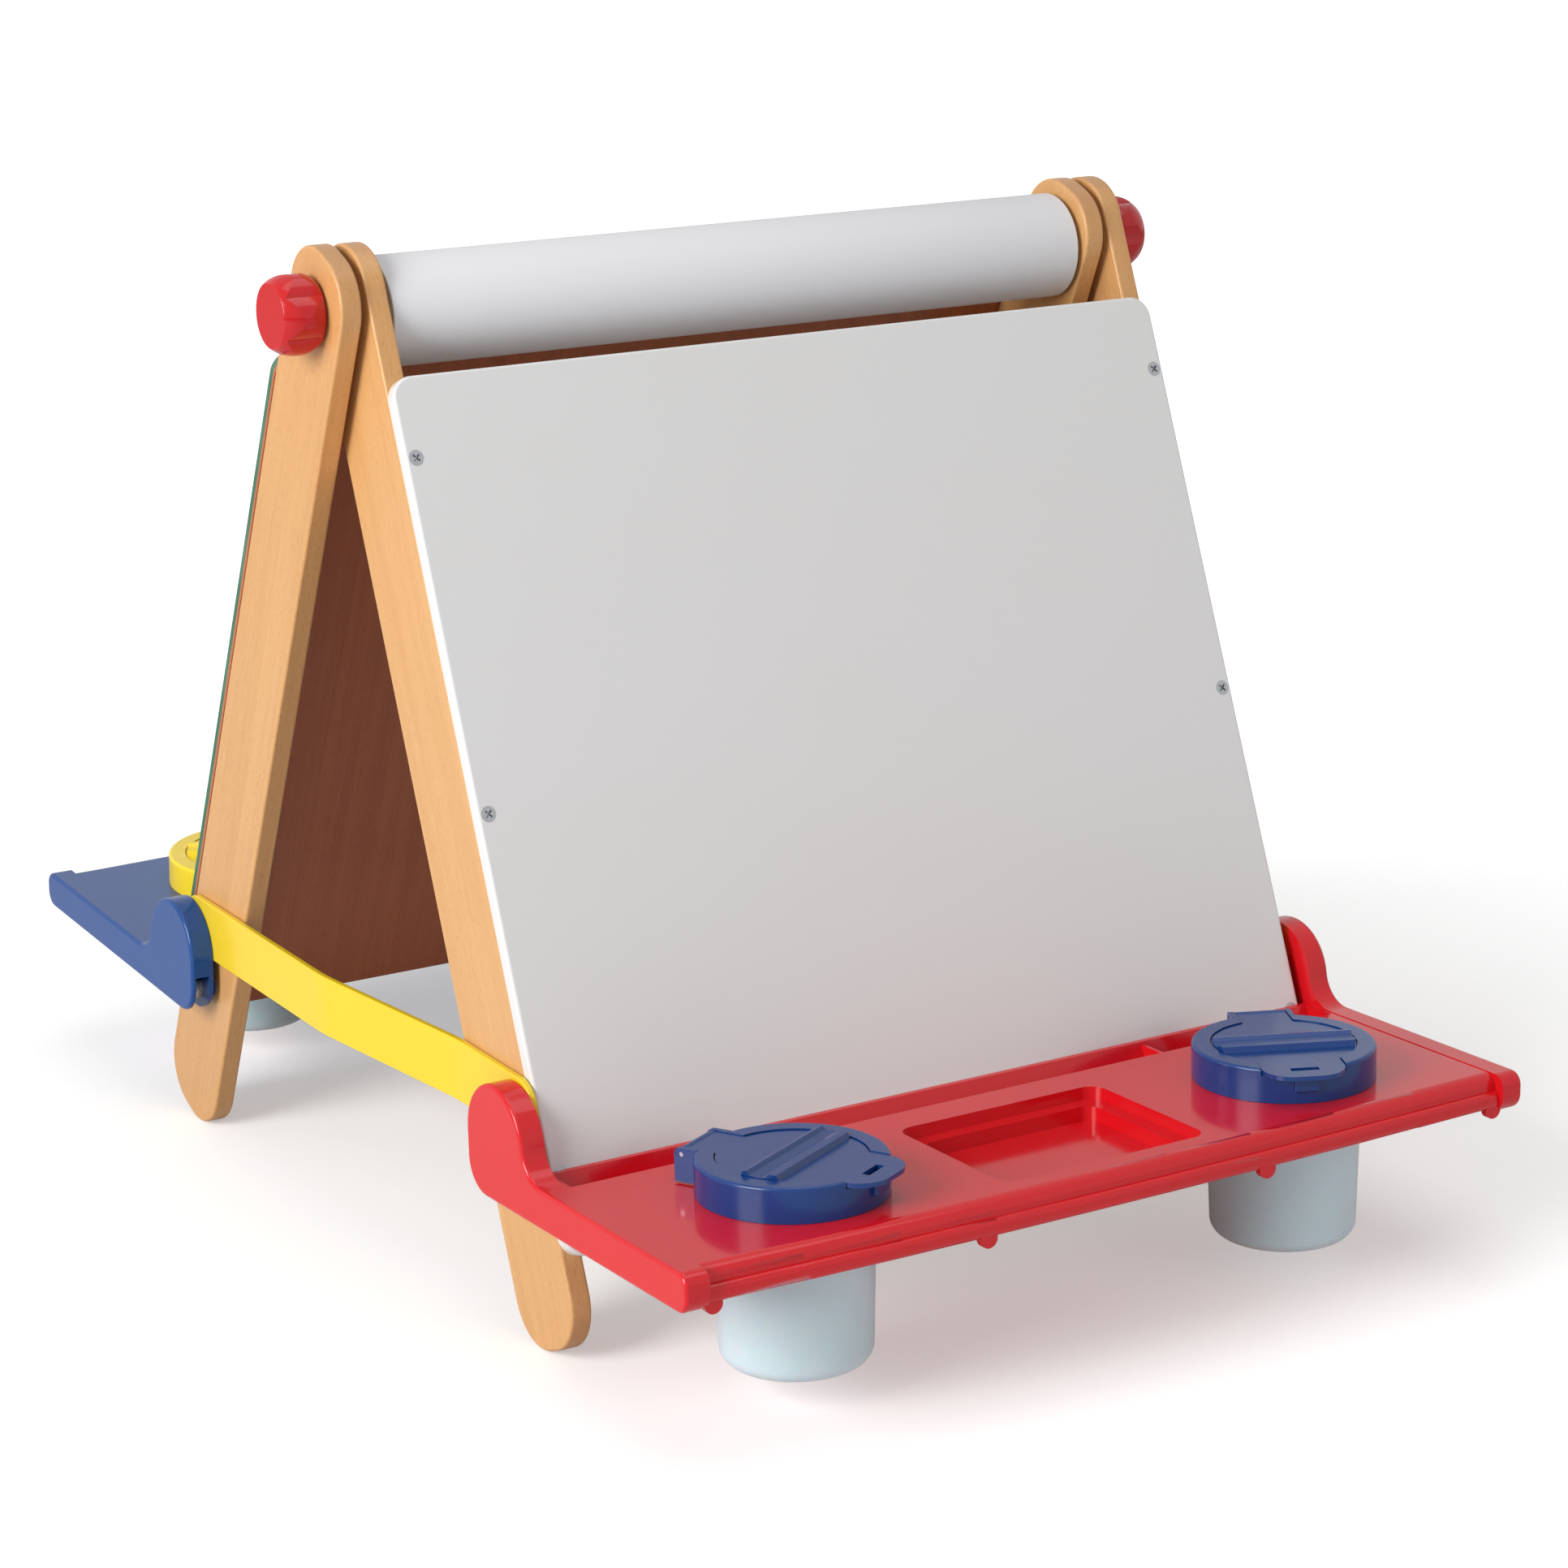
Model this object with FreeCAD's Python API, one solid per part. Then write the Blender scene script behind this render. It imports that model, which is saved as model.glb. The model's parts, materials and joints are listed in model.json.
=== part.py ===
import FreeCAD
import Part
import math
import os

# Double-sided tabletop easel, millimetres. +X runs along the fold axis, the
# whiteboard side faces -Y, +Z is up and z = 0 is the table it stands on.
# The two frames are one design: the rear frame is the front one turned half
# a turn about the vertical axis, so each side pairs an inner and an outer leg.

Vector = FreeCAD.Vector
X_AXIS = Vector(1, 0, 0)
Y_AXIS = Vector(0, 1, 0)
Z_AXIS = Vector(0, 0, 1)
ORIGIN = Vector(0, 0, 0)

# --- legs -----------------------------------------------------------------
lean = 22.5                  # each frame's angle from vertical, degrees
leg_width = 62.0
leg_thickness = 12.0
leg_end_radius = 27.0        # corner radius of both leg ends
leg_edge_round = 1.6
axis_to_top = 33.0
axis_to_foot = 545.0
leg_gap = 4.5                # between the paired inner and outer legs
frame_width = 478.0          # over the outer faces of one frame's two legs

# --- boards ---------------------------------------------------------------
board_top = 45.5             # from the fold axis, measured down the leg
board_length = 454.0
board_thickness = 7.0
board_corner = 12.0
board_edge_round = 1.8
chalk_backing = 2.0          # beech-faced backing under the chalkboard skin
screw_inset = 42.5           # first and last screw from the board's ends
screws_per_side = 3
screw_head_radius = 4.1
screw_shank_radius = 1.9
screw_length = 30.0
screw_rim = 0.35             # cylindrical edge of the countersunk head
screw_cross = (2.4, 1.8, 0.5)  # cross recess: half length, depth, half width

# --- fold axis hardware ---------------------------------------------------
stud_radius = 4.0
running_clearance = 0.06     # radial, every pin and its bore
spacer_radius = 13.0
face_clearance = 0.05        # each side of a washer or spacer
knob_washer_radius = 10.0
knob_washer_thickness = 1.4
knob_length = 23.0
knob_lobes = 5
knob_lobe_radius = 12.5
knob_lobe_offset = 9.0
knob_face_radius = 17.0
knob_waist_radius = 21.6
knob_base_radius = 18.5
dowel_radius = 14.0
insert_radius = 7.0
insert_length = 16.0
stud_in_knob = 15.0
stud_end_play = 1.5          # short of the insert's blind end
press_play = 0.03            # radial, pieces fixed into a bore
turned_round = 0.8           # rounding of turned ends
knob_waist_place = 0.45      # widest point along the knob

# --- paper roll -----------------------------------------------------------
roll_side_gap = 2.75         # roll's end to the inner leg, each side
roll_radius = 29.6
core_radius = 17.5           # inside of the cardboard core
core_wall = 2.0
roll_seat_gap = 0.3          # core above the dowel it hangs on

# --- trays ----------------------------------------------------------------
tray_tilt = 2.5              # outer edge higher, degrees
tray_height = 101.5          # tray surface where it meets the board
tray_board_gap = 0.3
wall = 2.6
ear_gap = 4.5                # between leg face and ear, holds the brace
ear_thickness = 13.4
ear_radius = 29.5
ear_centre_back = 26.0       # behind the board face
ear_centre_up = 12.3
ear_foot_radius = 18.0
ear_throat = 18.0            # concave sweep from ear down to the arm
ear_rim_round = 2.0
ear_slot_back = 6.0          # open slot starts this far behind the ear's centre
ear_slot_drop = 9.0          # and this far below it
arm_raise = 0.4              # arm top above the tray surface
arm_drop = 20.5              # arm bottom below the tray surface
arm_reach = 163.0            # arm end from the board face
arm_low_round = 9.0
arm_top_round = 7.0
groove_depth = 12.5
groove_width = 22.0
divider_offset = 127.0
divider_thickness = 2.0
lip_reach = 156.5            # tray edge at its ends
lip_bow = 5.0                # extra reach at the middle
lip_bead = 3.5               # lower roll stands out this far
lip_bead_top = 8.5
lip_end_inset = 1.5          # lip stops this far inside the ear's outer face
lip_drop = 18.0
lip_top_round = 7.0
lip_bead_round = 3.5
lip_low_round = 4.0
lip_top_skirt = 3.0          # upper roll reaches behind the bead
lip_thick_top = 2.5          # extra wall behind each roll
lip_thick_bead = 0.8
well_length = 126.0
well_depth_out = 97.0
well_start = 47.0            # from the board face
well_corner = 9.0
well_corner_less = 2.0       # lower step's corners are tighter
well_step = 7.0
well_step_in = 9.0
well_floor = 15.0
nub_offsets = (86.0, 240.0)
nub_radius = 5.0
nub_length = 4.0
nub_sink = 0.8               # back of a nub set into the bead

# --- tray bolts and braces ------------------------------------------------
pivot_forward = 17.5         # brace pivot in front of the leg's centreline
lower_bolt_forward = -3.7    # second bolt, just behind the centreline
brace_height = 33.5
brace_middle = 127.8         # height of the brace's centreline
brace_thickness = 3.7
brace_end = 23.0             # bar past the pivot
brace_hook_end = 14.0        # bar past the hook
brace_bend_inner = 58.0      # first bend, from the pivot
brace_bend_outer = 186.0     # second bend, from the pivot
brace_corner = 15.5
brace_bend_round = 150.0
brace_rim_round = 0.9
bolt_radius = 3.0
bolt_head_radius = 6.0
bolt_head_height = 2.6
bolt_head_round = 1.5
bolt_socket_radius = 2.0
bolt_past_nut = 1.0
nut_width = 10.0
nut_height = 4.6
lower_bolt_drop = 36.0       # second bolt below the pivot bolt
hook_play = 0.45             # radial, open hook round its bolt
hook_slant = 26.0            # degrees from vertical
boss_radius = 6.0

# --- cups -----------------------------------------------------------------
cup_offset = 153.5           # cup axis from the frame's centre plane
cup_out = 92.0               # cup axis from the board face
cup_angles = (28.0, -25.0)   # how the left and right cups are turned
cup_mouth_radius = 41.4
cup_base_radius = 38.6
cup_wall = 1.8
cup_below = 88.0             # cup floor below the tray surface
cup_base_round = 9.0
cup_neck = 12.5              # cup rim above the tray surface
cup_hole_gap = 0.9
collar_depth = 8.0           # rim round each cup hole
lid_overhang = 7.2           # lid's rim past the cup's mouth
lid_height = 18.6
lid_wall = 1.9
lid_deck = 2.2
lid_seat_gap = 0.15
lid_edge_round = 1.8
lid_floor = 2.2              # floor under the flap
lid_floor_rise = 0.2         # funnel's edge stands this far under the flap
grip_gap = 0.1
grip_wall = 1.4              # inner ring that grips the cup's neck
grip_depth = 8.2
mouth_radius = 30.0
funnel_mouth = 17.0
funnel_depth = 26.0
funnel_wall = 1.6
flap_radius = 38.0
flap_thickness = 2.4
flap_gap = 0.6
flap_sink = 0.7              # flap's top below the lid's ring
# cross-section of the brush rest: two ridges with a hollow between, (forward, up)
ridge_profile = ((8.0, -0.5), (6.2, 3.2), (4.2, 3.4), (2.4, 1.6), (-2.4, 0.8), (-6.0, 1.4),
                 (-8.0, 3.2), (-11.6, 3.0), (-13.2, -0.5))
ridge_inset = 0.5            # ridges stop this far inside the flap's edge
tab_width = 44.0
tab_reach = 9.0
tab_corner = 16.0
tab_slot = (15.0, 4.5)
hinge_width = 27.0
hinge_lug = 3.0
hinge_reach = 9.0
hinge_pin_radius = 1.2
hinge_knuckle = 3.2
hinge_cover = 0.8            # lug past the knuckle
hinge_lug_round = 3.0
latch_width = 13.0
latch_drop = 8.0
latch_proud = 2.4

# --- derived --------------------------------------------------------------
lean_rad = math.radians(lean)
frame_shift = (leg_thickness + leg_gap) / 2
half_frame = frame_width / 2
inner_face = half_frame - frame_shift - leg_thickness
roll_width = 2 * (inner_face - roll_side_gap)
end_flat = leg_width / 2 - leg_end_radius
axis_height = ((axis_to_foot - leg_end_radius) * math.cos(lean_rad)
               + end_flat * math.sin(lean_rad) + leg_end_radius)
axis_point = Vector(0, 0, axis_height)
board_outer = leg_width / 2 + board_thickness
tray_down = (axis_height + board_outer * math.sin(lean_rad)
             - tray_height) / math.cos(lean_rad)
tray_out = tray_down * math.sin(lean_rad) + board_outer * math.cos(lean_rad) + tray_board_gap
back_slope = math.tan(math.radians(lean + tray_tilt))
ear_inner = half_frame + ear_gap
ear_outer = ear_inner + ear_thickness
roll_drop = core_radius - dowel_radius - roll_seat_gap
pivot_out = (axis_height - brace_middle) * math.tan(lean_rad) + pivot_forward / math.cos(lean_rad)
pivot_low = brace_middle - lower_bolt_drop
lower_bolt_out = (axis_height - pivot_low) * math.tan(lean_rad) + lower_bolt_forward / math.cos(lean_rad)
jog = leg_thickness + leg_gap
brace_face = ear_gap / 2 - brace_thickness / 2
cup_hole_radius = cup_mouth_radius + cup_hole_gap
lid_radius = cup_mouth_radius + lid_overhang
lip_half = ear_outer - lip_end_inset
flap_top = lid_height - flap_sink


def save(name, shape):
    """Write one node's solids to its STEP file."""
    solids = shape.Solids
    result = solids[0] if len(solids) == 1 else Part.Compound(solids)
    result.exportStep(os.path.join("parts", name + ".step"))
    print(name, len(solids), round(result.Volume), result.isValid())


def box(x0, x1, y0, y1, z0, z1):
    """A block between two opposite corners."""
    return Part.makeBox(x1 - x0, y1 - y0, z1 - z0, Vector(x0, y0, z0))


def fuse(first, others):
    """Join solids that overlap or touch into one."""
    return first.multiFuse(list(others)).removeSplitter()


def turned(shape, angle, axis=Z_AXIS, centre=ORIGIN):
    """A copy of the shape turned about an axis."""
    copy = shape.copy()
    copy.rotate(centre, axis, angle)
    return copy


def moved(shape, x=0.0, y=0.0, z=0.0):
    """A copy of the shape moved by x, y, z."""
    copy = shape.copy()
    copy.translate(Vector(x, y, z))
    return copy


def rear(shape):
    """The rear frame's copy of a front piece."""
    return turned(shape, 180)


def on_frame(shape):
    """From upright leg coordinates, axis at the origin, to the leaning front frame."""
    return moved(turned(shape, -lean, X_AXIS), frame_shift, 0, axis_height)


def on_tray(shape):
    """From tray coordinates, surface at z = 0 and board at y = 0, to the front tray."""
    return moved(turned(shape, -tray_tilt, X_AXIS), frame_shift, -tray_out, tray_height)


def rounded_plate(x0, x1, z0, z1, radius, y0, y1):
    """An upright plate with rounded corners, thickness along Y."""
    plate = box(x0, x1, y0, y1, z0, z1)
    corners = [e for e in plate.Edges if abs(e.tangentAt(e.FirstParameter).y) > 0.99]
    return plate.makeFillet(radius, corners)


def flat_tray_block(length, y0, y1, z0, z1, radius):
    """A block centred on x = 0 whose four upright edges are rounded."""
    block = box(-length / 2, length / 2, y0, y1, z0, z1)
    corners = [e for e in block.Edges if abs(e.tangentAt(e.FirstParameter).z) > 0.99]
    return block.makeFillet(radius, corners)


def along_x(radius, x0, x1, y=0.0, z=0.0):
    """A round bar along X."""
    return Part.makeCylinder(radius, x1 - x0, Vector(x0, y, z), X_AXIS)


def face_round(shape, radius, test):
    """Round the edges whose middle point passes the test."""
    edges = [e for e in shape.Edges if test(e.CenterOfMass)]
    return shape.makeFillet(radius, edges)


# --- legs and boards --------------------------------------------------------
def screw_drops():
    """Distances of the board screws down the leg from the axis."""
    span = board_length - 2 * screw_inset
    step = span / (screws_per_side - 1)
    return [board_top + screw_inset + k * step for k in range(screws_per_side)]


def bolt_points():
    """The two tray bolts of a leg, as (outward, height) in the upright world."""
    return [(pivot_out, brace_middle), (lower_bolt_out, pivot_low)]


def leg(side):
    """A rounded plank; side is -1 left or 1 right, in the front frame."""
    x_outer = side * half_frame
    x_inner = x_outer - side * leg_thickness
    x0 = min(x_outer, x_inner)
    x1 = max(x_outer, x_inner)
    plank = box(x0, x1, -leg_width / 2, leg_width / 2, -axis_to_foot, axis_to_top)
    corners = [e for e in plank.Edges if abs(e.tangentAt(e.FirstParameter).x) > 0.99]
    plank = plank.makeFillet(leg_end_radius, corners)
    rims = [e for e in plank.Edges if abs(e.CenterOfMass.x - x0) < 0.01
            or abs(e.CenterOfMass.x - x1) < 0.01]
    plank = plank.makeFillet(leg_edge_round, rims)
    plank = plank.cut(along_x(stud_radius + running_clearance, x0 - 1, x1 + 1))
    middle = (x0 + x1) / 2
    for drop in screw_drops():
        pilot = Part.makeCylinder(screw_shank_radius + running_clearance, screw_length,
                                  Vector(middle, -leg_width / 2, -drop), Y_AXIS)
        plank = plank.cut(pilot)
    placed = on_frame(plank)
    for out, height in bolt_points():
        bore = along_x(bolt_radius + running_clearance, -2 * half_frame, 2 * half_frame,
                       -out, height)
        placed = placed.cut(bore)
    return placed


def board_blank(inner, outer, rounded):
    """A board-shaped plate between two distances out from the leg's front edge."""
    y0 = -leg_width / 2 - outer
    y1 = -leg_width / 2 - inner
    plate = rounded_plate(-half_frame, half_frame, -board_top - board_length, -board_top,
                          board_corner, y0, y1)
    if rounded:
        plate = face_round(plate, board_edge_round, lambda c: abs(c.y - y0) < 0.01)
    return plate


def screw_cutters(grow):
    """Screw heads and shanks in upright coordinates, grown by a clearance."""
    solids = []
    face = -leg_width / 2 - board_thickness
    for side in (-1, 1):
        x = side * (half_frame - leg_thickness / 2)
        for drop in screw_drops():
            shank = Part.makeCylinder(screw_shank_radius + grow, screw_length,
                                      Vector(x, face + screw_rim, -drop), Y_AXIS)
            head_depth = screw_head_radius - screw_shank_radius
            head = Part.makeCone(screw_head_radius + grow, screw_shank_radius + grow,
                                 head_depth, Vector(x, face + screw_rim, -drop), Y_AXIS)
            rim = Part.makeCylinder(screw_head_radius + grow, screw_rim + grow,
                                    Vector(x, face - grow, -drop), Y_AXIS)
            solids.append(fuse(shank, [head, rim]))
    return solids


def board_screws():
    """Six countersunk cross-head wood screws with their recesses."""
    face = -leg_width / 2 - board_thickness
    length, depth, width = screw_cross
    screws = []
    for screw in screw_cutters(0.0):
        centre = screw.BoundBox.Center
        for angle in (45, 135):
            arm = box(-length, length, 0, depth, -width, width)
            arm = moved(turned(arm, angle, Y_AXIS), centre.x, face - 0.01, centre.z)
            screw = screw.cut(arm)
        screws.append(on_frame(screw))
    return Part.Compound(screws)


def drilled(board):
    """A board with its countersunk screw holes, leaning on its frame."""
    for cutter in screw_cutters(running_clearance):
        board = board.cut(cutter)
    return on_frame(board)


# --- fold axis --------------------------------------------------------------
def at_axis(shape):
    """Lift a shape made round the origin to the fold axis."""
    return moved(shape, 0, 0, axis_height)


def dowel():
    """Beech rod between the inner legs, bored at both ends for its inserts."""
    reach = inner_face - face_clearance
    rod = along_x(dowel_radius, -reach, reach)
    rod = face_round(rod, turned_round, lambda c: abs(abs(c.x) - reach) < 0.01)
    for side in (-1, 1):
        x = side * reach
        start = min(x, x - side * insert_length)
        rod = rod.cut(along_x(insert_radius, start, start + insert_length))
    return at_axis(rod)


def dowel_inserts():
    """Threaded metal inserts in the rod's ends."""
    reach = inner_face - face_clearance
    inserts = []
    for side in (-1, 1):
        x = side * reach
        start = min(x, x - side * insert_length)
        sleeve = along_x(insert_radius - press_play, start + 0.1, start + insert_length - 0.1)
        bore = along_x(stud_radius + running_clearance, start, start + insert_length)
        inserts.append(at_axis(sleeve.cut(bore)))
    return Part.Compound(inserts)


def hinge_spacers():
    """Washers that keep each inner and outer leg apart."""
    inner = half_frame - frame_shift + face_clearance
    thickness = leg_gap - 2 * face_clearance
    rings = []
    for side in (-1, 1):
        start = min(side * inner, side * (inner + thickness))
        ring = along_x(spacer_radius, start, start + thickness)
        bore = along_x(stud_radius + running_clearance, start - 1, start + thickness + 1)
        rings.append(at_axis(ring.cut(bore)))
    return Part.Compound(rings)


def knob_washers():
    """Flat steel washers under the knobs."""
    inner = half_frame + frame_shift + face_clearance
    rings = []
    for side in (-1, 1):
        start = min(side * inner, side * (inner + knob_washer_thickness))
        ring = along_x(knob_washer_radius, start, start + knob_washer_thickness)
        bore = along_x(stud_radius + running_clearance, start - 1, start + 5)
        rings.append(at_axis(ring.cut(bore)))
    return Part.Compound(rings)


def knob_start():
    """Where a knob's base stands, from the centre plane."""
    return half_frame + frame_shift + knob_washer_thickness + 2 * face_clearance


def knob():
    """Right-hand five-lobed knob with a barrel profile, bored for its stud."""
    start = knob_start()
    lobes = [along_x(knob_lobe_radius, 0, knob_length,
                     knob_lobe_offset * math.cos(2 * math.pi * k / knob_lobes),
                     knob_lobe_offset * math.sin(2 * math.pi * k / knob_lobes))
             for k in range(knob_lobes)]
    prism = fuse(lobes[0], lobes[1:])
    profile = Part.Wire([
        Part.LineSegment(Vector(0, 0, 0), Vector(0, knob_base_radius, 0)).toShape(),
        Part.Arc(Vector(0, knob_base_radius, 0),
                 Vector(knob_length * knob_waist_place, knob_waist_radius, 0),
                 Vector(knob_length, knob_face_radius, 0)).toShape(),
        Part.LineSegment(Vector(knob_length, knob_face_radius, 0),
                         Vector(knob_length, 0, 0)).toShape(),
        Part.LineSegment(Vector(knob_length, 0, 0), Vector(0, 0, 0)).toShape()])
    barrel = Part.Face(profile).revolve(ORIGIN, X_AXIS, 360)
    body = prism.common(barrel).Solids[0]
    body = face_round(body, turned_round, lambda c: abs(c.x - knob_length) < 0.01)
    body = body.cut(along_x(stud_radius + press_play, -1, stud_in_knob + 0.1))
    return at_axis(moved(body, start))


def stud():
    """Right-hand steel stud, fixed in the knob and turning in the dowel insert."""
    inner = inner_face - insert_length + stud_end_play
    return at_axis(along_x(stud_radius, inner, knob_start() + stud_in_knob))


def roll_piece(inner, outer, length):
    """A tube lying on the dowel's top."""
    tube = along_x(outer, -length / 2, length / 2)
    tube = tube.cut(along_x(inner, -length / 2 - 1, length / 2 + 1))
    return moved(tube, 0, 0, axis_height - roll_drop)


# --- trays ------------------------------------------------------------------
def prism_x(points, x0, x1):
    """Extrude a closed (y, z) polygon between two x places."""
    wire = Part.makePolygon([Vector(x0, y, z) for y, z in points + points[:1]])
    return Part.Face(wire).extrude(Vector(x1 - x0, 0, 0))


def arc_x(x, y, z, radius, start, end):
    """An arc in a plane of constant x, round (y, z), angles in degrees from +Y."""
    angles = [math.radians(a) for a in (start, (start + end) / 2, end)]
    points = [Vector(x, y + radius * math.cos(a), z + radius * math.sin(a)) for a in angles]
    return Part.Arc(*points).toShape()


def line_x(x, first, last):
    """A straight edge between two (y, z) points at constant x."""
    return Part.LineSegment(Vector(x, *first), Vector(x, *last)).toShape()


def end_bar(x0, x1, shrink):
    """The ear and arm outline as a slab; shrink gives the hollow inside it."""
    radius = ear_radius - shrink
    throat = ear_throat + shrink
    low = -arm_drop + shrink
    top = arm_raise - shrink
    front = -arm_reach + shrink
    back = ear_centre_back + radius
    foot = ear_foot_radius - shrink
    lower = arm_low_round - shrink
    upper = arm_top_round - shrink
    throat_up = top + throat - ear_centre_up
    throat_out = math.sqrt((radius + throat) ** 2 - throat_up ** 2)
    throat_y = ear_centre_back - throat_out
    turn = math.degrees(math.atan2(throat_up, -throat_out))
    edges = [arc_x(x0, ear_centre_back, ear_centre_up, radius, 0, turn),
             arc_x(x0, throat_y, top + throat, throat, turn - 180, -90),
             line_x(x0, (throat_y, top), (front + upper, top)),
             arc_x(x0, front + upper, top - upper, upper, 90, 180),
             line_x(x0, (front, top - upper), (front, low + lower)),
             arc_x(x0, front + lower, low + lower, lower, 180, 270),
             line_x(x0, (front + lower, low), (back - foot, low)),
             arc_x(x0, back - foot, low + foot, foot, -90, 0)]
    if ear_centre_up - low - foot > 0.01:
        edges.append(line_x(x0, (back, low + foot), (back, ear_centre_up)))
    return Part.Face(Part.Wire(edges)).extrude(Vector(x1 - x0, 0, 0))


def ear_arm(side):
    """One hollow end of the tray: ear plates, rim and the arm beside the tray."""
    slab = end_bar(ear_inner, ear_outer, 0.0)
    rim = [e for e in slab.Edges if abs(e.CenterOfMass.x - ear_outer) < 0.01]
    slab = slab.makeFillet(ear_rim_round, rim)
    hollow = end_bar(ear_inner + wall, ear_outer - wall, wall)
    slab = slab.cut(hollow)
    inside0 = ear_inner + wall
    inside1 = ear_outer - wall
    slot_start = ear_centre_back + ear_slot_back
    slot = box(inside0, inside1, slot_start, ear_centre_back + ear_radius + 1,
               -arm_drop - 1, ear_centre_up - ear_slot_drop)
    under = box(inside0, inside1, -arm_reach + 2 * arm_low_round, slot_start,
                -arm_drop - 1, -arm_drop + wall + 1)
    slab = slab.cut(slot).cut(under)
    if side < 0:
        slab = slab.mirror(ORIGIN, X_AXIS)
    return slab


def bowed_block(reach, z0, z1, half=lip_half):
    """A block from the board out to a gently bowed front edge."""
    left = Vector(-half, -reach, z0)
    right = Vector(half, -reach, z0)
    middle = Vector(0, -reach - lip_bow, z0)
    start = -groove_width - 2 * wall
    edges = [Part.LineSegment(Vector(half, start, z0), Vector(-half, start, z0)).toShape(),
             Part.LineSegment(Vector(-half, start, z0), left).toShape(),
             Part.Arc(left, middle, right).toShape(),
             Part.LineSegment(right, Vector(half, start, z0)).toShape()]
    return Part.Face(Part.Wire(edges)).extrude(Vector(0, 0, z1 - z0))


def bow_edges(shape, z, reach):
    """The bowed front edge at one height."""
    return [e for e in shape.Edges if abs(e.BoundBox.ZMin - z) < 0.01
            and abs(e.BoundBox.ZMax - z) < 0.01 and abs(e.BoundBox.YMin + reach + lip_bow) < 0.05]


def tray_deck():
    """The tray's surface with its double-rolled front lip, hollow underneath."""
    upper = bowed_block(lip_reach, -lip_bead_top - lip_top_skirt, 0)
    upper = upper.makeFillet(lip_top_round, bow_edges(upper, 0, lip_reach))
    bead_reach = lip_reach + lip_bead
    lower = bowed_block(bead_reach, -lip_drop, -lip_bead_top)
    lower = lower.makeFillet(lip_bead_round, bow_edges(lower, -lip_bead_top, bead_reach))
    lower = lower.makeFillet(lip_low_round, bow_edges(lower, -lip_drop, bead_reach))
    deck = fuse(upper, [lower])
    inside_upper = bowed_block(lip_reach - wall - lip_thick_top, -lip_drop - 1, -wall,
                               ear_outer - wall)
    inside_lower = bowed_block(bead_reach - wall - lip_thick_bead, -lip_drop - 1,
                               -lip_bead_top - wall - 1, ear_outer - wall)
    return deck.cut(inside_upper).cut(inside_lower)


def groove_trough():
    """Pencil groove between the board and the deck, its back wall following the board."""
    floor = -groove_depth - wall
    thick = wall / math.cos(math.radians(lean + tray_tilt))
    front = -groove_width - thick
    outer = [(0, 0), (floor * back_slope, floor), (front - wall, floor), (front - wall, 0)]
    inner = [(-thick, 1), (-thick - groove_depth * back_slope, -groove_depth),
             (front, -groove_depth), (front, 1)]
    trough = prism_x(outer, -ear_inner - 1, ear_inner + 1)
    trough = trough.cut(prism_x(inner, -ear_inner + wall, ear_inner - wall))
    dividers = []
    for side in (-1, 1):
        x = side * divider_offset - divider_thickness / 2
        dividers.append(prism_x([(-thick / 2, -1.5), (-groove_depth * back_slope - thick / 2,
                                                      -groove_depth - 1),
                                 (front - 1, -groove_depth - 1), (front - 1, -1.5)],
                                x, x + divider_thickness))
    return fuse(trough, dividers)


def well_shape(grow, top):
    """The stepped well's hollow, or with grow its outer skin."""
    y1 = -well_start + grow
    y0 = -well_start - well_depth_out - grow
    first = flat_tray_block(well_length + 2 * grow, y0, y1, -well_step - grow, top,
                            well_corner + grow)
    step = well_step_in
    second = flat_tray_block(well_length - 2 * step + 2 * grow, y0 + step, y1 - step,
                             -well_floor - grow, -well_step,
                             well_corner - well_corner_less + grow)
    return first, second


def tray():
    """One moulded tray, in tray coordinates, before its bolt holes."""
    skin = well_shape(wall, 0)
    collars = []
    holes = []
    for side in (-1, 1):
        centre = Vector(side * cup_offset, -cup_out, -collar_depth)
        collars.append(Part.makeCylinder(cup_hole_radius + wall, collar_depth - 0.5, centre))
        holes.append(Part.makeCylinder(cup_hole_radius, 2 * collar_depth,
                                       Vector(centre.x, centre.y, -collar_depth - 1)))
    nubs = []
    for place in nub_offsets:
        bow = lip_bow * (1 - (place / lip_half) ** 2)
        y = -lip_reach - lip_bead - bow + nub_sink
        for side in (-1, 1):
            nub = Part.makeCylinder(nub_radius, nub_length, Vector(side * place, y, -lip_drop),
                                    Y_AXIS)
            nubs.append(nub)
    body = fuse(tray_deck(), [groove_trough()] + list(skin) + collars)
    for cutter in list(well_shape(0, 1)) + holes:
        body = body.cut(cutter)
    ends = [ear_arm(side) for side in (-1, 1)]
    return fuse(body, nubs + ends)


def leg_side_bar(side, x_first, x_last, radius, out, height):
    """A round bar along X at a tray bolt, between two offsets from the frame's centre."""
    first = frame_shift + side * x_first
    last = frame_shift + side * x_last
    return along_x(radius, min(first, last), max(first, last), -out, height)


def finished_tray():
    """The tray in place, with its bolt holes and the lower bolts' spacing bosses."""
    body = on_tray(tray())
    lower_out, lower_height = bolt_points()[1]
    bosses = [leg_side_bar(side, half_frame + face_clearance, ear_inner + wall, boss_radius,
                           lower_out, lower_height) for side in (-1, 1)]
    body = fuse(body, bosses)
    for side in (-1, 1):
        for out, height in bolt_points():
            body = body.cut(leg_side_bar(side, half_frame - 1, ear_inner + wall + 1,
                                         bolt_radius + running_clearance, out, height))
    return body


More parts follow.
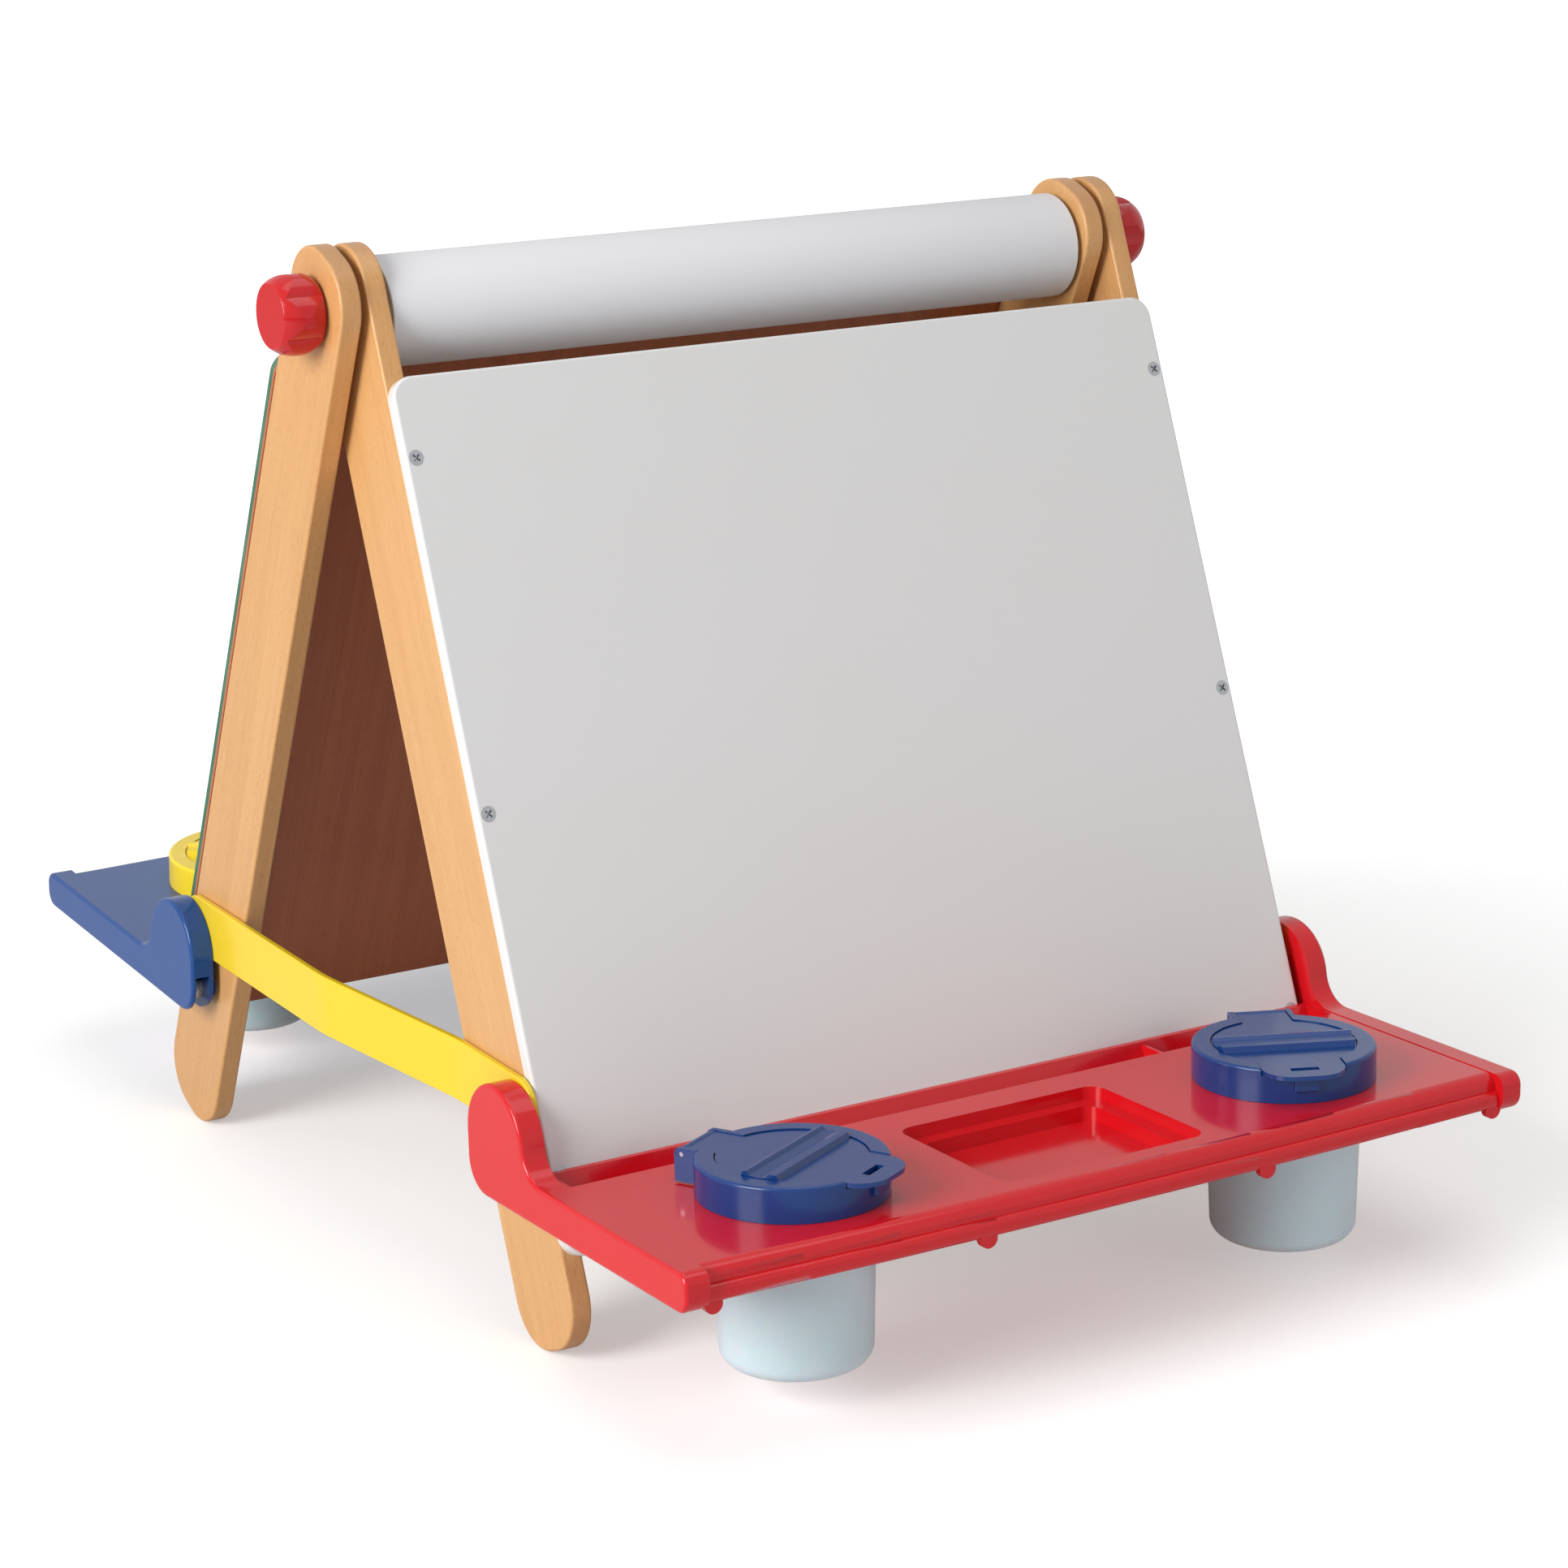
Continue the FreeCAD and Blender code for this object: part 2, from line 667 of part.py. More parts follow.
def tray_bolts():
    """Pan-head bolts from each leg's inner face through to the ear."""
    seat = half_frame - leg_thickness
    tip = ear_inner + wall + nut_height + bolt_past_nut
    bolts = []
    for side in (-1, 1):
        head_x = frame_shift + side * (seat - bolt_head_height)
        for out, height in bolt_points():
            shank = leg_side_bar(side, seat, tip, bolt_radius, out, height)
            head = leg_side_bar(side, seat - bolt_head_height, seat, bolt_head_radius,
                                out, height)
            head = face_round(head, bolt_head_round, lambda c: abs(c.x - head_x) < 0.01)
            socket = leg_side_bar(side, seat - 2 * bolt_head_height, seat - 1.0,
                                  bolt_socket_radius, out, height)
            bolts.append(fuse(shank, [head]).cut(socket))
    return Part.Compound(bolts)


def tray_nuts():
    """Hexagon nuts inside the hollow ears."""
    radius = nut_width / 2 / math.cos(math.pi / 6)
    near = ear_inner + wall + face_clearance
    nuts = []
    for side in (-1, 1):
        x0 = frame_shift + side * near
        x1 = frame_shift + side * (near + nut_height)
        for out, height in bolt_points():
            points = [(-out + radius * math.cos(math.pi * k / 3),
                       height + radius * math.sin(math.pi * k / 3)) for k in range(6)]
            nut = prism_x(points, min(x0, x1), max(x0, x1))
            nuts.append(nut.cut(leg_side_bar(side, near - 1, near + 2 * nut_height,
                                             bolt_radius + running_clearance, out, height)))
    return Part.Compound(nuts)


# --- braces -----------------------------------------------------------------
def brace():
    """Left brace: pivots at the front inner leg, hooks over the rear outer leg's bolt."""
    near = -(half_frame - frame_shift) - brace_face
    far = near - jog
    first = -pivot_out - brace_end
    last = pivot_out + brace_hook_end
    bend_a = -pivot_out + brace_bend_inner
    bend_b = -pivot_out + brace_bend_outer
    path = [(near, first), (near, bend_a), (far, bend_b), (far, last)]
    back = [(x - brace_thickness, y) for x, y in reversed(path)]
    low = brace_middle - brace_height / 2
    wire = Part.makePolygon([Vector(x, y, low) for x, y in path + back + path[:1]])
    bar = Part.Face(wire).extrude(Vector(0, 0, brace_height))
    bends = [e for e in bar.Edges if abs(e.tangentAt(e.FirstParameter).z) > 0.99
             and (abs(e.CenterOfMass.y - bend_a) < 0.01 or abs(e.CenterOfMass.y - bend_b) < 0.01)]
    bar = bar.makeFillet(brace_bend_round, bends)
    ends = [e for e in bar.Edges if abs(e.tangentAt(e.FirstParameter).x) > 0.99
            and (abs(e.CenterOfMass.y - first) < 0.01 or abs(e.CenterOfMass.y - last) < 0.01)]
    bar = bar.makeFillet(brace_corner, ends)
    rims = [e for e in bar.Edges if abs(abs(e.CenterOfMass.z - brace_middle)
                                        - brace_height / 2) < 0.01
            and abs(e.tangentAt(e.FirstParameter).y) > 0.9]
    bar = bar.makeFillet(brace_rim_round, rims)
    hole = along_x(bolt_radius + running_clearance, -2 * half_frame, 0, -pivot_out, brace_middle)
    bar = bar.cut(hole)
    hook_radius = bolt_radius + hook_play
    eye = along_x(hook_radius, -2 * half_frame, 0, pivot_out, brace_middle)
    throat = box(-2 * half_frame, 0, -hook_radius, hook_radius, -brace_height, 0)
    throat = turned(throat, -hook_slant, X_AXIS)
    throat = moved(throat, 0, pivot_out, brace_middle)
    return bar.cut(eye).cut(throat)


# --- cups -------------------------------------------------------------------
def on_cup(shape, side):
    """From cup coordinates, tray surface at z = 0, to a front cup's place."""
    angle = cup_angles[0] if side < 0 else cup_angles[1]
    placed = moved(turned(shape, angle), side * cup_offset, -cup_out, 0)
    return on_tray(placed)


def revolved(points):
    """Turn a closed (radius, height) outline about the Z axis."""
    wire = Part.makePolygon([Vector(r, 0, z) for r, z in points + points[:1]])
    return Part.Face(wire).revolve(ORIGIN, Z_AXIS, 360)


def cup():
    """Tapered translucent cup that hangs through the tray."""
    outer = Part.makeCone(cup_base_radius, cup_mouth_radius, cup_below, Vector(0, 0, -cup_below))
    outer = face_round(outer, cup_base_round, lambda c: abs(c.z + cup_below) < 0.01)
    neck = Part.makeCylinder(cup_mouth_radius, cup_neck)
    inner = Part.makeCone(cup_base_radius - cup_wall, cup_mouth_radius - cup_wall,
                          cup_below - cup_wall, Vector(0, 0, -cup_below + cup_wall))
    inner = face_round(inner, cup_base_round - cup_wall,
                       lambda c: abs(c.z + cup_below - cup_wall) < 0.01)
    bore = Part.makeCylinder(cup_mouth_radius - cup_wall, cup_neck + 1)
    return fuse(outer, [neck]).cut(fuse(inner, [bore]))


def hinge_axis_place():
    """The flap hinge's axis: distance behind the cup axis, and height."""
    return lid_radius + hinge_reach - hinge_knuckle - hinge_cover, lid_height - hinge_knuckle


def flap_outline(grow, z0, z1):
    """The flap's disc, tab and hinge arm as one flat shape."""
    disc = Part.makeCylinder(flap_radius + grow, z1 - z0, Vector(0, 0, z0))
    reach = lid_radius + tab_reach
    tab = box(-tab_width / 2 - grow, tab_width / 2 + grow, -reach - grow, -flap_radius / 2, z0, z1)
    corners = [e for e in tab.Edges if abs(e.tangentAt(e.FirstParameter).z) > 0.99
               and e.CenterOfMass.y < -reach + 1]
    tab = tab.makeFillet(tab_corner, corners)
    back, height = hinge_axis_place()
    arm = box(-hinge_width / 2 - grow, hinge_width / 2 + grow, flap_radius / 2, back, z0, z1)
    return fuse(disc, [tab, arm])


def lid_base():
    """Blank of the lid: skirt, deck, funnel and the cup's socket."""
    deck = lid_height - lid_deck
    outer = Part.makeCylinder(lid_radius, lid_height - lid_seat_gap, Vector(0, 0, lid_seat_gap))
    outer = face_round(outer, lid_edge_round, lambda c: abs(c.z - lid_height) < 0.01)
    under = Part.makeCylinder(lid_radius - lid_wall, deck - flap_thickness - lid_seat_gap - 0.5,
                              Vector(0, 0, 0))
    lid = outer.cut(under)
    grip_inner = cup_mouth_radius + grip_gap
    grip_low = deck - flap_thickness - grip_depth
    grip = Part.makeCylinder(grip_inner + grip_wall, grip_depth - 0.2, Vector(0, 0, grip_low))
    grip = grip.cut(Part.makeCylinder(grip_inner, 2 * grip_depth, Vector(0, 0, grip_low - 1)))
    floor_top = flap_top - flap_thickness - lid_floor_rise
    floor_low = floor_top - lid_floor
    outer_funnel = revolved([(0, floor_top), (mouth_radius + funnel_wall, floor_top),
                             (funnel_mouth + funnel_wall, floor_low - funnel_depth),
                             (0, floor_low - funnel_depth)])
    inner_funnel = revolved([(0, floor_top + 1), (mouth_radius, floor_top + 1),
                             (mouth_radius, floor_top), (funnel_mouth, floor_low - funnel_depth),
                             (funnel_mouth, floor_low - funnel_depth - 1),
                             (0, floor_low - funnel_depth - 1)])
    lid = fuse(lid, [grip, outer_funnel])
    return lid.cut(inner_funnel)


def lid():
    """Screw-on lid ring with a recess for the flap, hinge lugs and latch."""
    body = lid_base()
    back, height = hinge_axis_place()
    lugs = []
    for side in (-1, 1):
        inner = side * (hinge_width / 2 + flap_gap)
        start = min(inner, inner + side * hinge_lug)
        lug = box(start, start + hinge_lug, lid_radius - 2 * lid_wall, lid_radius + hinge_reach,
                  lid_seat_gap + 1.0, lid_height)
        top_edge = [e for e in lug.Edges if abs(e.CenterOfMass.z - lid_height) < 0.01
                    and abs(e.CenterOfMass.y - lid_radius - hinge_reach) < 0.01]
        lugs.append(lug.makeFillet(hinge_lug_round, top_edge))
    latch_top = flap_top - flap_thickness - flap_gap
    latch = box(-latch_width / 2, latch_width / 2, -lid_radius - latch_proud, -lid_radius + 2,
                latch_top - latch_drop, latch_top)
    latch = latch.makeFillet(0.8, latch.Edges)
    body = fuse(body, lugs + [latch])
    recess = flap_outline(flap_gap, flap_top - flap_thickness - flap_gap, lid_height + 5)
    swing = along_x(hinge_knuckle + 0.6, -hinge_width / 2 - flap_gap,
                    hinge_width / 2 + flap_gap, back, height)
    clear = box(-hinge_width / 2 - flap_gap, hinge_width / 2 + flap_gap, back - 0.1,
                back + 12, height - hinge_knuckle - 0.6, lid_height + 5)
    body = body.cut(recess).cut(swing).cut(clear)
    pin_bore = along_x(hinge_pin_radius + running_clearance, -hinge_width, hinge_width,
                       back, height)
    return body.cut(pin_bore)


def flap():
    """Hinged flap with two ridges that cradle a brush, and a slotted thumb tab."""
    plate = flap_outline(0.0, flap_top - flap_thickness, flap_top)
    back, height = hinge_axis_place()
    knuckle = along_x(hinge_knuckle, -hinge_width / 2, hinge_width / 2, back, height)
    profile = [(y, flap_top + z) for y, z in ridge_profile]
    rest = prism_x(profile, -flap_radius, flap_radius)
    rest = rest.common(Part.makeCylinder(flap_radius - ridge_inset, 10,
                                         Vector(0, 0, flap_top - 1)))
    body = fuse(plate, [knuckle, rest])
    slot = box(-tab_slot[0] / 2, tab_slot[0] / 2, -lid_radius + 1.0,
               -lid_radius + 1.0 + tab_slot[1], flap_top - flap_thickness - 1,
               flap_top + 1)
    body = body.cut(slot)
    pin_bore = along_x(hinge_pin_radius + running_clearance, -hinge_width, hinge_width,
                       back, height)
    return body.cut(pin_bore)


def hinge_pin():
    """Steel pin through the lugs and the flap's knuckle."""
    back, height = hinge_axis_place()
    reach = hinge_width / 2 + flap_gap + hinge_lug - 0.3
    return along_x(hinge_pin_radius, -reach, reach, back, height)


def both_frames(front_name, rear_name, shape):
    """Save a front piece and its rear twin."""
    save(front_name, shape)
    save(rear_name, rear(shape))


os.makedirs("parts", exist_ok=True)

both_frames("front_left_leg", "rear_right_leg", leg(-1))
both_frames("front_right_leg", "rear_left_leg", leg(1))
save("whiteboard", drilled(board_blank(0, board_thickness, True)))
save("chalkboard", rear(drilled(board_blank(chalk_backing, board_thickness, True))))
save("chalkboard_backing", rear(drilled(board_blank(0, chalk_backing, False))))
both_frames("front_board_screws", "rear_board_screws", board_screws())
both_frames("red_tray", "blue_tray", finished_tray())
both_frames("front_tray_bolts", "rear_tray_bolts", tray_bolts())
both_frames("front_tray_nuts", "rear_tray_nuts", tray_nuts())
both_frames("brace_left", "brace_right", brace())
save("roll_dowel", dowel())
save("dowel_inserts", dowel_inserts())
save("hinge_spacers", hinge_spacers())
save("knob_washers", knob_washers())
both_frames("knob_right", "knob_left", knob())
both_frames("knob_stud_right", "knob_stud_left", stud())
save("roll_core", roll_piece(core_radius, core_radius + core_wall, roll_width))
save("paper_roll", roll_piece(core_radius + core_wall + 0.05, roll_radius, roll_width))
for side, front_place, rear_place in ((-1, "front_left", "rear_right"),
                                      (1, "front_right", "rear_left")):
    both_frames("cup_" + front_place, "cup_" + rear_place, on_cup(cup(), side))
    both_frames("lid_" + front_place, "lid_" + rear_place, on_cup(lid(), side))
    both_frames("flap_" + front_place, "flap_" + rear_place, on_cup(flap(), side))
    both_frames("flap_pin_" + front_place, "flap_pin_" + rear_place, on_cup(hinge_pin(), side))
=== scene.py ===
# %% [markdown]
# # A double-sided tabletop easel
# Two leaning frames of beech planks meet at a bar that carries a paper roll.
# One frame holds a dry-wipe board, the other a chalkboard, and each has a moulded tray with two
# lidded paint cups. The shapes come from the packed construction model. This lesson gives every
# surface the finish of the real material, models the wound paper roll, and lights the result.

# %% Load the imported model
import json
import math

import bmesh
import bpy
from mathutils import Matrix, Vector


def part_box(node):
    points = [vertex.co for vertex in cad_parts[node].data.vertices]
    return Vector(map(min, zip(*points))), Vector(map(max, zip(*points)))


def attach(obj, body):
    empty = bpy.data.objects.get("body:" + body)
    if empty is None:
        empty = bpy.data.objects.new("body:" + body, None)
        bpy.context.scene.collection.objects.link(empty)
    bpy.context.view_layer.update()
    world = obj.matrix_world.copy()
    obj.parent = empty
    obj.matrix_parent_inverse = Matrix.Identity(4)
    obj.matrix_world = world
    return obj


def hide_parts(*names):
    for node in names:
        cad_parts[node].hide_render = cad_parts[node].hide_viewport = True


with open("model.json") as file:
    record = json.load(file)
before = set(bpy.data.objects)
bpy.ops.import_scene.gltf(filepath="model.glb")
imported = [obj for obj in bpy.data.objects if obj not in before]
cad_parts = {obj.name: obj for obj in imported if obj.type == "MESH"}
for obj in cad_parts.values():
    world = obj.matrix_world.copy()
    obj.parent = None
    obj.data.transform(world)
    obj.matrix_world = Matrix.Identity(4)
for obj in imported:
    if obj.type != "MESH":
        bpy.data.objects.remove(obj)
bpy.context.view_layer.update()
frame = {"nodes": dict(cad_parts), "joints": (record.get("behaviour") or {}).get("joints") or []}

nodes = frame["nodes"]

# %% [markdown]
# ## Where things are
# Grain has to follow the plank it is on, so the textures need each plank's
# own directions. The fold axis and the roll's axis are joints in the record,
# and the angles belong to the design.

# %% Places and directions
MM = 0.001
LEAN = math.radians(22.5)       # each frame from vertical
TURN = math.radians(180)        # the rear frame is the front one turned round

joints = {joint["name"]: joint for joint in frame["joints"]}
axis_place = Vector(joints["fold"]["pos_m"])
roll_place = Vector(joints["roll_turn"]["pos_m"])
print("fold axis", axis_place, "roll axis", roll_place)

# %% [markdown]
# ## Two small helpers
# Colours are written as the hex values a paint chart would use, and one
# function turns them linear, because shaders work with light and not with
# screen values. The other helper adds a node together with its settings and
# its links, so that a material reads from top to bottom.

# %% Colour and node helpers
def linear(hex_colour):
    """An sRGB hex colour as linear red, green, blue and alpha."""
    values = [int(hex_colour[i:i + 2], 16) / 255 for i in (1, 3, 5)]
    return [v / 12.92 if v <= 0.04045 else ((v + 0.055) / 1.055) ** 2.4 for v in values] + [1.0]


def add(tree, kind, sockets=None, links=None, **settings):
    """Add a node, set its options and socket values, and link other outputs to it."""
    node = tree.nodes.new(kind)
    for name, value in settings.items():
        setattr(node, name, value)
    for name, value in (sockets or {}).items():
        node.inputs[name].default_value = value
    for name, source in (links or {}).items():
        tree.links.new(source, node.inputs[name])
    return node


def start_material(name, **constants):
    """A new material with constants set straight on its Principled shader."""
    material = bpy.data.materials.new(name)
    material.use_nodes = True
    shader = material.node_tree.nodes["Principled BSDF"]
    for socket, value in constants.items():
        shader.inputs[socket.replace("_", " ")].default_value = value
    return material, material.node_tree, shader


def per_mm(x, y, z):
    """Texture scale for features this many millimetres across."""
    return (1 / (x * MM), 1 / (y * MM), 1 / (z * MM))


# %% [markdown]
# ## The camera
# A product picture of an easel is taken from a little above the boards, with
# a long lens so that the uprights stay nearly parallel. The camera stands on
# the left of the whiteboard side and looks slightly down.

# %% Place the camera
VIEW_TURN = math.radians(31.052)
VIEW_DOWN = math.radians(16.054)
VIEW_ROLL = math.radians(-0.248)

right = Vector((math.cos(VIEW_TURN), -math.sin(VIEW_TURN), 0))
forward = Vector((math.sin(VIEW_TURN) * math.cos(VIEW_DOWN),
                  math.cos(VIEW_TURN) * math.cos(VIEW_DOWN), -math.sin(VIEW_DOWN)))
up = right.cross(forward)
rolled_right = right * math.cos(VIEW_ROLL) + up * math.sin(VIEW_ROLL)
rolled_up = up * math.cos(VIEW_ROLL) - right * math.sin(VIEW_ROLL)
camera_data = bpy.data.cameras.new("camera")
camera_data.lens = 90.92
camera_data.sensor_width = 36.0
camera_data.shift_x = 0.0394
camera_data.shift_y = -0.0126
camera_data.clip_end = 60.0
camera = bpy.data.objects.new("camera", camera_data)
bpy.context.scene.collection.objects.link(camera)
turn = Matrix((rolled_right, rolled_up, -forward)).transposed().to_4x4()
camera.matrix_world = Matrix.Translation((-1.1097, -1.8376, 0.8455)) @ turn
bpy.context.scene.camera = camera
print("camera at", [round(c, 3) for c in camera.matrix_world.translation])

# %% [markdown]
# ## Studio light
# Large soft lamps keep the shadows gentle. The key stands on the left, where
# the planks' faces are brightest, and a wide overhead panel lights the trays
# and the tops of the lids. A low fill on the right lifts the cups and stays
# out of reflections. The world looks white to the camera and a little dimmer
# in reflections, as a room is.

# %% Lamps, world and floor
def softbox(name, place, target, size, power):
    """A square area lamp aimed at a point."""
    data = bpy.data.lights.new(name, "AREA")
    data.size = size
    data.energy = power
    lamp = bpy.data.objects.new(name, data)
    bpy.context.scene.collection.objects.link(lamp)
    lamp.location = place
    lamp.rotation_euler = (Vector(target) - Vector(place)).to_track_quat("-Z", "Y").to_euler()
    return lamp


softbox("key_left", (-3.0, -0.6, 1.5), (0, 0, 0.25), 1.6, 95)
softbox("overhead", (0.1, -0.3, 2.8), (0, 0, 0.1), 2.2, 18)
fill = softbox("front_fill", (1.3, -2.8, 0.7), (0, 0, 0.15), 1.8, 13)
fill.visible_glossy = False

WORLD_FILL = 0.32        # what the world adds to the lighting
WORLD_MIRRORED = 0.72    # what a glossy surface sees of it
world = bpy.data.worlds.new("studio")
bpy.context.scene.world = world
world.use_nodes = True
tree = world.node_tree
path = add(tree, "ShaderNodeLightPath")
seen = add(tree, "ShaderNodeMath", operation="MAXIMUM",
           links={0: path.outputs["Is Camera Ray"], 1: path.outputs["Is Transmission Ray"]})
mirrored = add(tree, "ShaderNodeMath", {1: WORLD_MIRRORED}, {0: path.outputs["Is Glossy Ray"]},
               operation="MULTIPLY")
seen = add(tree, "ShaderNodeMath", operation="MAXIMUM",
           links={0: seen.outputs[0], 1: mirrored.outputs[0]})
strength = add(tree, "ShaderNodeMapRange", {"To Min": WORLD_FILL, "To Max": 1.0},
               {"Value": seen.outputs[0]})
tree.nodes["Background"].inputs["Color"].default_value = (1, 1, 1, 1)
tree.links.new(strength.outputs[0], tree.nodes["Background"].inputs["Strength"])

floor_mesh = bpy.data.meshes.new("studio_floor")
FLOOR_REACH = 18.0
FLOOR_DROP = 0.0003      # just under the feet, so that they don't share a plane
corners = [(-1, -1), (1, -1), (1, 1), (-1, 1)]
floor_mesh.from_pydata([(x * FLOOR_REACH, y * FLOOR_REACH, 0) for x, y in corners],
                       [], [(0, 1, 2, 3)])
floor = bpy.data.objects.new("studio_floor", floor_mesh)
bpy.context.scene.collection.objects.link(floor)
floor.location.z = -FLOOR_DROP
material, tree, shader = start_material("studio_paper_floor", Roughness=0.9,
                                        Base_Color=linear("#E6E6E6"), Specular_IOR_Level=0.2)
path = add(tree, "ShaderNodeLightPath")
coords = add(tree, "ShaderNodeTexCoord")
away = add(tree, "ShaderNodeVectorMath", links={0: coords.outputs["Object"]}, operation="LENGTH")
# near the easel the paper keeps its shadow; further off it brightens to white
SHADOW_REACH, WHITE_REACH, NEAR_LIFT = 0.45, 1.5, 0.38
whiten = add(tree, "ShaderNodeMapRange",
             {"From Min": SHADOW_REACH, "From Max": WHITE_REACH, "To Min": NEAR_LIFT,
              "To Max": 1.0}, {"Value": away.outputs["Value"]})
lift = add(tree, "ShaderNodeMath", links={0: path.outputs["Is Camera Ray"],
                                          1: whiten.outputs[0]}, operation="MULTIPLY")
shader.inputs["Emission Color"].default_value = (1, 1, 1, 1)
tree.links.new(lift.outputs[0], shader.inputs["Emission Strength"])
floor_mesh.materials.append(material)

# %% [markdown]
# ## Beech planks
# The legs are planed steamed beech under clear lacquer: an even warm tan with
# fine straight grain, wide slow bands where the growth rings surface, and
# thousands of tiny dark ray flecks. A picture of wood could be wrapped on,
# but it would stretch round the ends, so the grain is built from noise
# stretched along the plank. The top and foot show end grain, where the fibres
# are cut across and drink in more finish.

# %% Make the beech
def beech(name, place, rotation, seed, tone, dark):
    """Lacquered beech with its grain along the part's own Z direction."""
    material, tree, shader = start_material(name, Roughness=0.42, IOR=1.5, Coat_Weight=0.25,
                                            Coat_Roughness=0.28)
    coords = add(tree, "ShaderNodeTexCoord")
    along = add(tree, "ShaderNodeMapping", {"Location": place, "Rotation": rotation},
                {"Vector": coords.outputs["Object"]}, vector_type="TEXTURE")
    shifted = add(tree, "ShaderNodeVectorMath", {1: (seed * 0.71, seed * 0.37, seed * 1.9)},
                  {0: along.outputs[0]}, operation="ADD")

    # growth rings surface as bands about 7 mm wide and most of the plank long
    rings = add(tree, "ShaderNodeMapping", {"Scale": per_mm(7, 9, 260)},
                {"Vector": shifted.outputs[0]})
    rings = add(tree, "ShaderNodeTexNoise", {"Scale": 1.0, "Detail": 2.0, "Distortion": 0.6},
                {"Vector": rings.outputs[0]})
    # fine fibres, 0.8 mm wide so that they still show, and 45 mm long
    fibres = add(tree, "ShaderNodeMapping", {"Scale": per_mm(0.8, 0.8, 45)},
                 {"Vector": shifted.outputs[0]})
    fibres = add(tree, "ShaderNodeTexNoise", {"Scale": 1.0, "Detail": 3.0, "Roughness": 0.65},
                 {"Vector": fibres.outputs[0]})
    # ray flecks: real ones are 0.3 x 2 mm, drawn 0.55 x 4 mm so that they show
    flecks = add(tree, "ShaderNodeMapping", {"Scale": per_mm(0.6, 0.55, 4.0)},
                 {"Vector": shifted.outputs[0]})
    flecks = add(tree, "ShaderNodeTexNoise", {"Scale": 1.0, "Detail": 0.0},
                 {"Vector": flecks.outputs[0]})
    flecks = add(tree, "ShaderNodeMapRange", {"From Min": 0.64, "From Max": 0.76, "To Max": 0.30},
                 {"Value": flecks.outputs["Fac"]})
    # end grain: the surface faces along the plank
    axis = Matrix.Rotation(rotation[2], 3, "Z") @ Matrix.Rotation(rotation[0], 3, "X")
    axis = axis @ Vector((0, 0, 1))
    facing = add(tree, "ShaderNodeVectorMath", {1: axis}, {0: coords.outputs["Normal"]},
                 operation="DOT_PRODUCT")
    facing = add(tree, "ShaderNodeMath", links={0: facing.outputs["Value"]}, operation="ABSOLUTE")
    end_grain = add(tree, "ShaderNodeMapRange", {"From Min": 0.35, "From Max": 0.95, "To Max": 0.35},
                    {"Value": facing.outputs[0]})

    base = add(tree, "ShaderNodeMapRange", {"From Min": 0.3, "From Max": 0.7},
               {"Value": rings.outputs["Fac"]})
    colour = add(tree, "ShaderNodeMix", {6: linear(tone[0]), 7: linear(tone[1])},
                 {0: base.outputs[0]}, data_type="RGBA")
    stripe = add(tree, "ShaderNodeMapRange", {"From Min": 0.38, "From Max": 0.75, "To Max": 0.30},
                 {"Value": fibres.outputs["Fac"]})
    colour = add(tree, "ShaderNodeMix", {7: linear(tone[2])},
                 {0: stripe.outputs[0], 6: colour.outputs[2]}, data_type="RGBA")
    colour = add(tree, "ShaderNodeMix", {7: linear(dark)},
                 {0: flecks.outputs[0], 6: colour.outputs[2]}, data_type="RGBA")
    colour = add(tree, "ShaderNodeMix", {7: linear(dark)},
                 {0: end_grain.outputs[0], 6: colour.outputs[2]}, data_type="RGBA")
    tree.links.new(colour.outputs[2], shader.inputs["Base Color"])
    shine = add(tree, "ShaderNodeMapRange", {"To Min": 0.34, "To Max": 0.50},
                {"Value": fibres.outputs["Fac"]})
    tree.links.new(shine.outputs[0], shader.inputs["Roughness"])
    bump = add(tree, "ShaderNodeBump", {"Strength": 0.18, "Distance": 0.15 * MM},
               {"Height": fibres.outputs["Fac"]})
    tree.links.new(bump.outputs[0], shader.inputs["Normal"])
    return material


front_lean = (-LEAN, 0, 0)
rear_lean = (-LEAN, 0, TURN)
plank_tones = ("#D8A66C", "#D19C62", "#BE854C")
legs = {
    "front_left_leg": beech("lacquered_beech_front_left", axis_place, front_lean, 1.0,
                            plank_tones, "#9C6236"),
    "front_right_leg": beech("lacquered_beech_front_right", axis_place, front_lean, 2.3,
                             ("#D3A067", "#CB965E", "#B87E48"), "#955D33"),
    "rear_left_leg": beech("lacquered_beech_rear_left", axis_place, rear_lean, 3.1,
                           ("#D6A369", "#CE9A60", "#BC844C"), "#A0683A"),
    "rear_right_leg": beech("lacquered_beech_rear_right", axis_place, rear_lean, 4.7,
                            plank_tones, "#98603A")}
print("planks", sorted(legs))

# %% [markdown]
# The bar under the paper is a bare sanded beech rod whose grain runs along it. The chalkboard's
# hardboard is faced on the inside with a thin beech veneer, which is most of what shows between the
# frames. Its tones are drawn darker and redder than the planks. That is painted shade for the shadow
# it stands in between the frames.

# %% Rod and veneer
rod_wood = beech("sanded_beech_rod", axis_place, (0, math.radians(90), 0), 5.2,
                 ("#DDB184", "#D2A373", "#C3915F"), "#A87748")
# darker, redder beech tones: painted shade for the veneer in shadow between the frames
veneer_wood_painted_shade = beech("beech_veneer_painted_shade", axis_place, rear_lean, 6.4,
                    ("#B96A42", "#AD613A", "#98502F"), "#6B3520")
print("rod and veneer", rod_wood.name, veneer_wood_painted_shade.name)

# %% [markdown]
# ## Dry-wipe board
# The front panel is hardboard under a white melamine laminate, pressed
# against a polished plate: hard and glossy, with the faintest waviness of a
# pressed sheet. A flat white would look like paper, so the surface gets a
# slow ripple and a trace of wiped haze that shifts gloss and tint a little.

